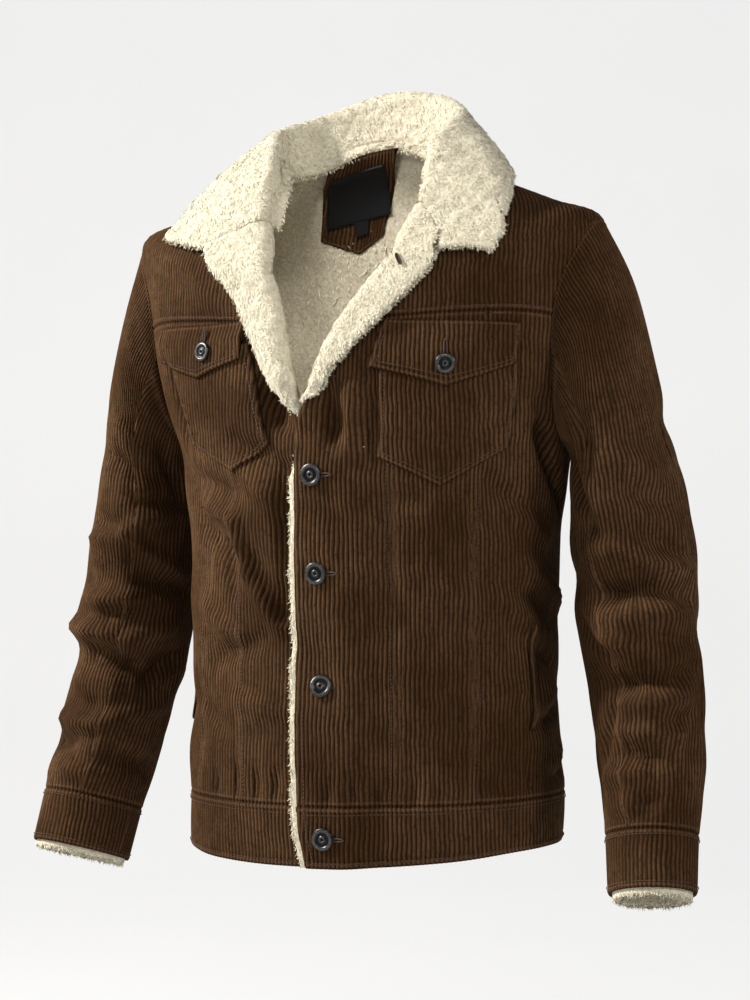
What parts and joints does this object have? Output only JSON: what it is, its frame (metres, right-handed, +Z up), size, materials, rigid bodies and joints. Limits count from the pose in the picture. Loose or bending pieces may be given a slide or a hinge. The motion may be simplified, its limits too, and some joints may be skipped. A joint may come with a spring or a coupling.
{
  "type": "sherpa lined jacket",
  "caption": "Corduroy trucker jacket with pile lining, collar and lapels, chest flap pockets, waistband and cuffs, filled out as worn with no wearer inside.",
  "frame": {"origin": "where the wearer holds the jacket up: the middle of the neck opening, level with the side neck points", "axes": "+Z up, -Y towards the front of the jacket, +X towards the wearer's left"},
  "size_m": [0.7296, 0.2743, 0.8053],
  "materials": {
    "corduroy": "brown wide-wale corduroy",
    "cream_pile": "cream curled pile",
    "lining_pile": "tan pile lining",
    "dark_metal": "dark gunmetal",
    "satin_tape": "black satin tape, plain"
  },
  "bodies": {
    "root": {"back": "corduroy", "back_yoke": "corduroy", "chest_pocket_left": "corduroy", "chest_pocket_right": "corduroy", "collar": "cream_pile", "cuff_left": "corduroy", "cuff_lining_left": "cream_pile", "cuff_lining_right": "cream_pile", "cuff_right": "corduroy", "flap_button_left": "dark_metal", "flap_button_right": "dark_metal", "front_button_1": "dark_metal", "front_button_2": "dark_metal", "front_button_3": "dark_metal", "front_button_4": "dark_metal", "front_centre_left": "corduroy", "front_centre_right": "corduroy", "front_facing_left": "cream_pile", "front_middle_left": "corduroy", "front_middle_right": "corduroy", "front_side_left": "corduroy", "front_side_right": "corduroy", "front_yoke_left": "corduroy", "front_yoke_right": "corduroy", "hand_pocket_welt_left": "corduroy", "hand_pocket_welt_right": "corduroy", "lapel_left": "cream_pile", "lapel_right": "cream_pile", "lining_back": "lining_pile", "neck_label": "satin_tape", "neck_patch": "corduroy", "pocket_flap_left": "corduroy", "pocket_flap_right": "corduroy", "size_tab": "satin_tape", "sleeve_top_left": "corduroy", "sleeve_top_right": "corduroy", "sleeve_under_left": "corduroy", "sleeve_under_right": "corduroy", "waistband_back": "corduroy", "waistband_left": "corduroy", "waistband_right": "corduroy"}
  },
  "joints": []
}
